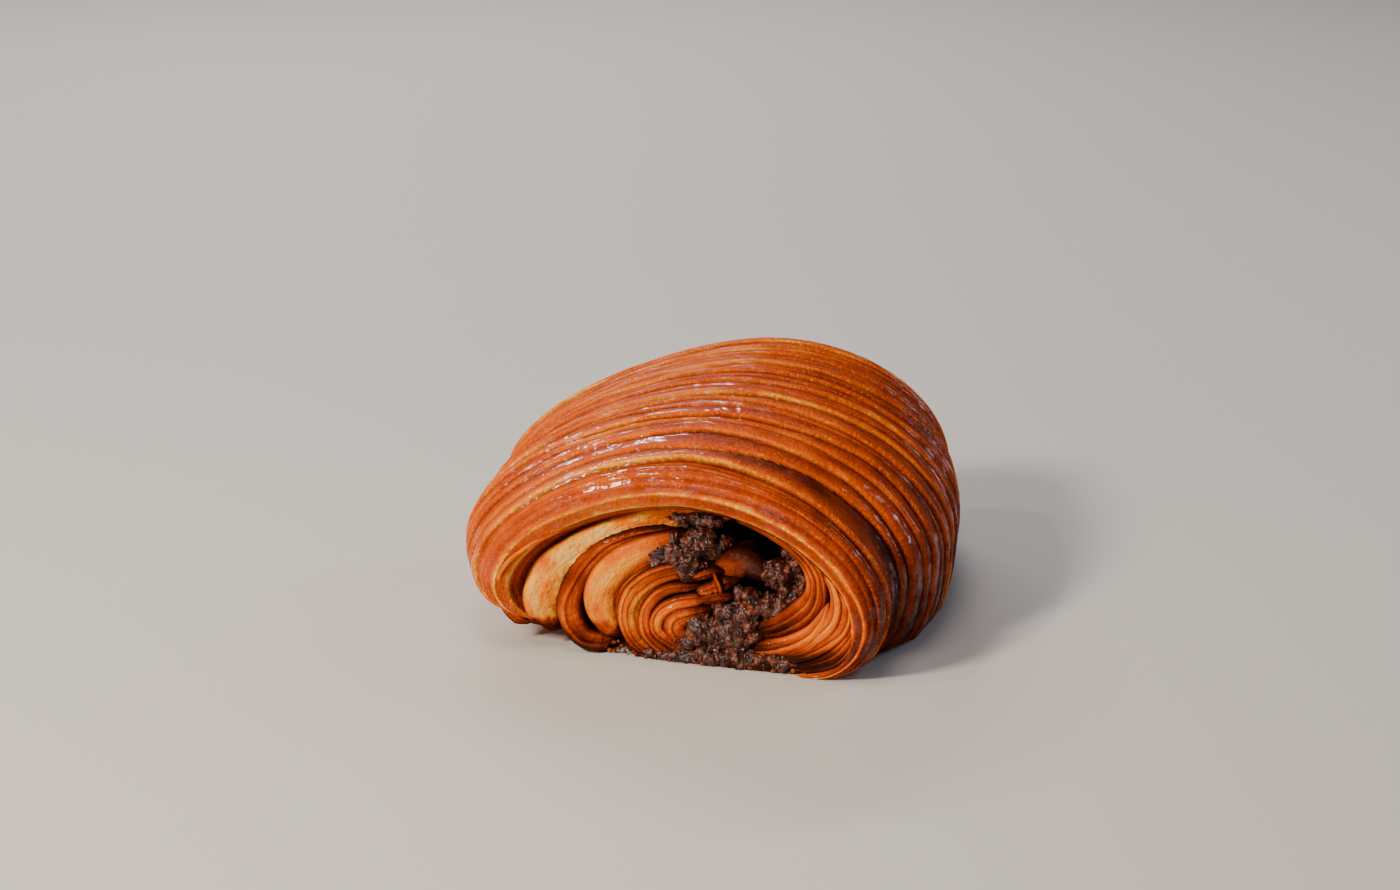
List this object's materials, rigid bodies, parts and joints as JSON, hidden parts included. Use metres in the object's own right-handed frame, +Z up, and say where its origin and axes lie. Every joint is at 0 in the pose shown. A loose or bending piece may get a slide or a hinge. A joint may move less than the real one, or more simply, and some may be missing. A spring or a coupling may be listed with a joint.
{
  "type": "pain au chocolat",
  "caption": "Baked laminated roll with hooped, fanned crust, an open spiral coil at each end and chocolate batons running through, resting on a flat seam side.",
  "frame": {"origin": "middle of the bounding box in X and Y, at the height of the surface it rests on", "axes": "+Z up from the seam side; Y along the roll with the coil that faces -Y as the front; +X towards the side where the hoops fan wide apart"},
  "size_m": [0.1012, 0.0996, 0.0472],
  "materials": {
    "baked_dough": "egg-washed baked crust, satin with glossy patches",
    "dark_chocolate": "crumbly, part melted, satin"
  },
  "bodies": {
    "root": {"pastry": "baked_dough", "chocolate_baton_upper": "dark_chocolate", "chocolate_baton_lower": "dark_chocolate"}
  },
  "joints": []
}
